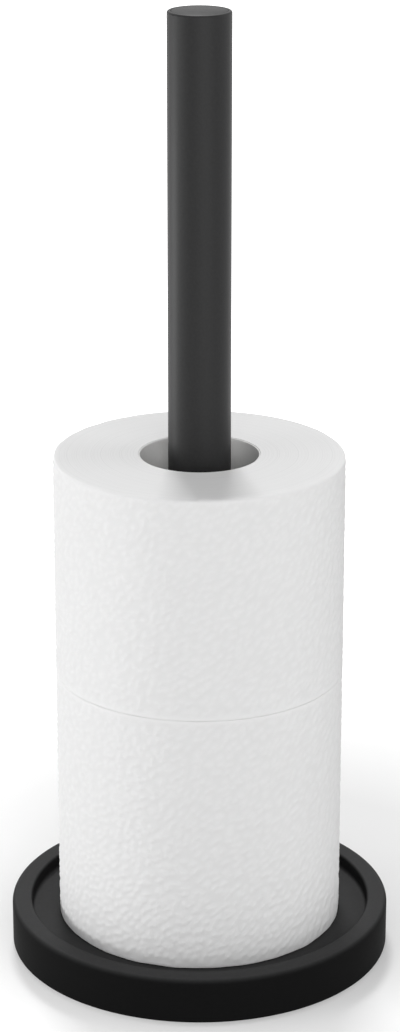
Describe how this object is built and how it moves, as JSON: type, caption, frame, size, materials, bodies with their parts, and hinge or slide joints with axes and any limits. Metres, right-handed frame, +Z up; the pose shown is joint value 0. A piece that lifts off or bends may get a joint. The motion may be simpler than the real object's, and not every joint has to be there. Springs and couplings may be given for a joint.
{
  "type": "toilet roll storage holder",
  "caption": "Free-standing toilet roll storage holder: a weighted round tray with a raised rim and an upright rod that keeps spare rolls stacked, shown with rolls on it.",
  "frame": {"origin": "centre of the base pad's underside, on the surface the holder stands on", "axes": "+Z up along the rod, -Y towards the viewer of the front, +X to the viewer's right"},
  "size_m": [0.1564, 0.1564, 0.39],
  "materials": {
    "black_coat": "matte",
    "black_rubber": "matte",
    "plain_steel": "satin",
    "grey_card": "matte",
    "white_tissue": "matte"
  },
  "bodies": {
    "holder": {"base_tray": "black_coat", "non_slip_pad": "black_rubber", "rod_tube": "black_coat", "rod_end_cap": "black_coat", "rod_foot_plug": "plain_steel", "clamp_screw": "plain_steel", "flat_washer": "plain_steel", "spring_washer": "plain_steel"},
    "lower_roll": {"lower_roll_core": "grey_card", "lower_roll_paper": "white_tissue"},
    "upper_roll": {"upper_roll_core": "grey_card", "upper_roll_paper": "white_tissue"}
  },
  "joints": [
    {"name": "lower_roll_lift", "type": "slide", "parent": "holder", "child": "lower_roll", "axis": [0, 0, 1], "range_m": [0, 0.385]},
    {"name": "upper_roll_lift", "type": "slide", "parent": "lower_roll", "child": "upper_roll", "axis": [0, 0, 1], "range_m": [0, 0.28]}
  ]
}
